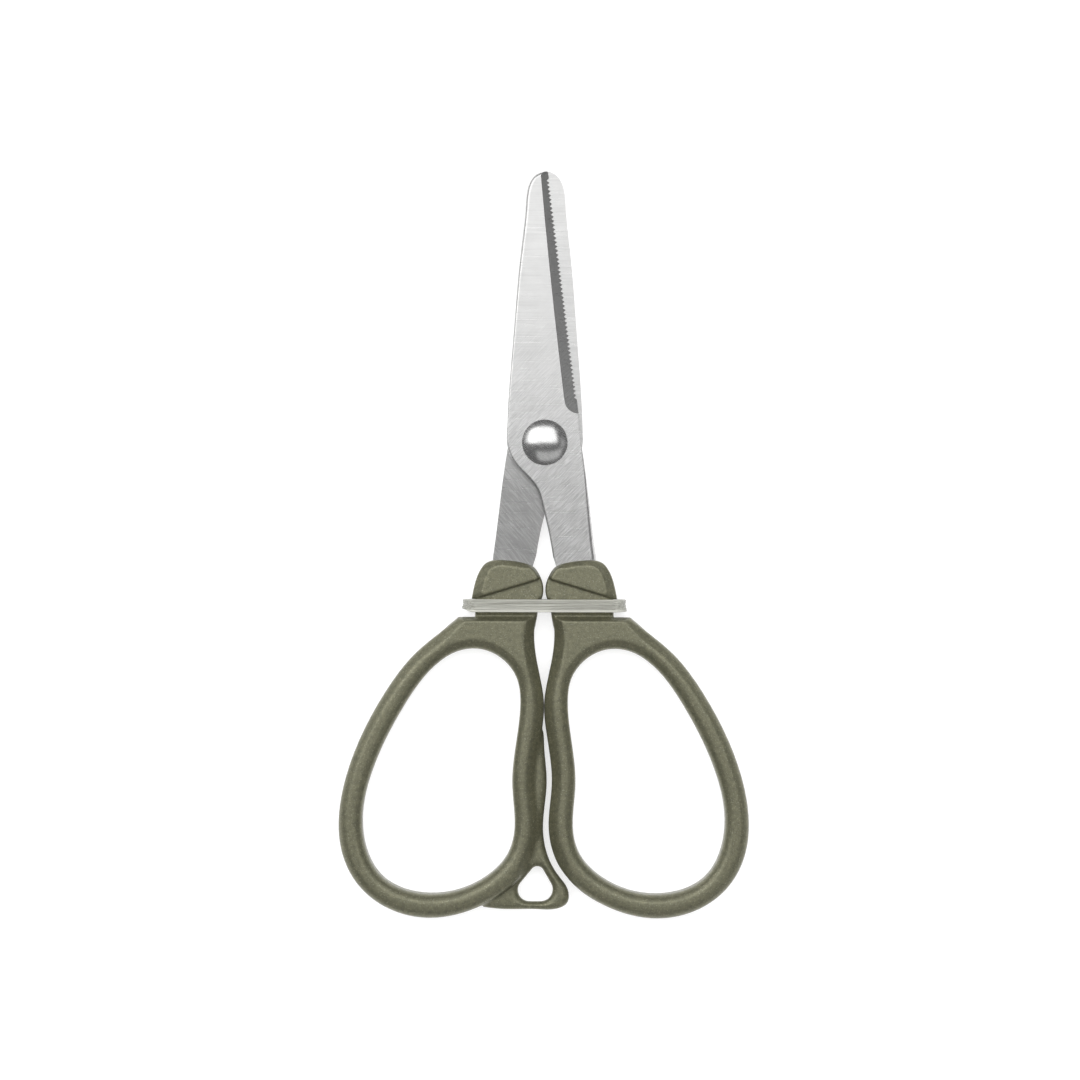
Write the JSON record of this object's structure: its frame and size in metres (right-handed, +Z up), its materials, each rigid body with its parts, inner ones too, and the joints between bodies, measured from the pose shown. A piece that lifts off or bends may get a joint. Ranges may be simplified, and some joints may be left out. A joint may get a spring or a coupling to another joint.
{
  "type": "scissors",
  "caption": "Small straight scissors with a finely toothed cutting edge, domed pivot rivet, moulded finger rings, a lanyard tab and an elastic keeper band round the necks.",
  "frame": {"origin": "centre of the base: below the middle of the overall length and width, on the plane that the handles' backs lie on", "axes": "+Y along the closed blades towards the tips, +X towards the handle of the front blade, +Z up through the pivot rivet's domed head"},
  "size_m": [0.0632, 0.115, 0.0056],
  "materials": {
    "blade_steel": "fine ground stainless steel",
    "rivet_steel": "polished",
    "handle_plastic": "satin olive with fine metallic flakes",
    "band_elastic": "translucent satin"
  },
  "bodies": {
    "rear_half": {"back_blade": "blade_steel", "left_handle": "handle_plastic", "pivot_rivet": "rivet_steel", "rivet_washer": "rivet_steel", "keeper_band": "band_elastic"},
    "front_half": {"front_blade": "blade_steel", "right_handle": "handle_plastic"}
  },
  "joints": [
    {"name": "blade_pivot", "type": "hinge", "parent": "rear_half", "child": "front_half", "pos_m": [0, 0.0157, 0.0028], "axis": [0, 0, 1], "range_deg": [0, 60], "stiffness_Nm_per_rad": 0.05, "deforming": ["keeper_band"]}
  ]
}
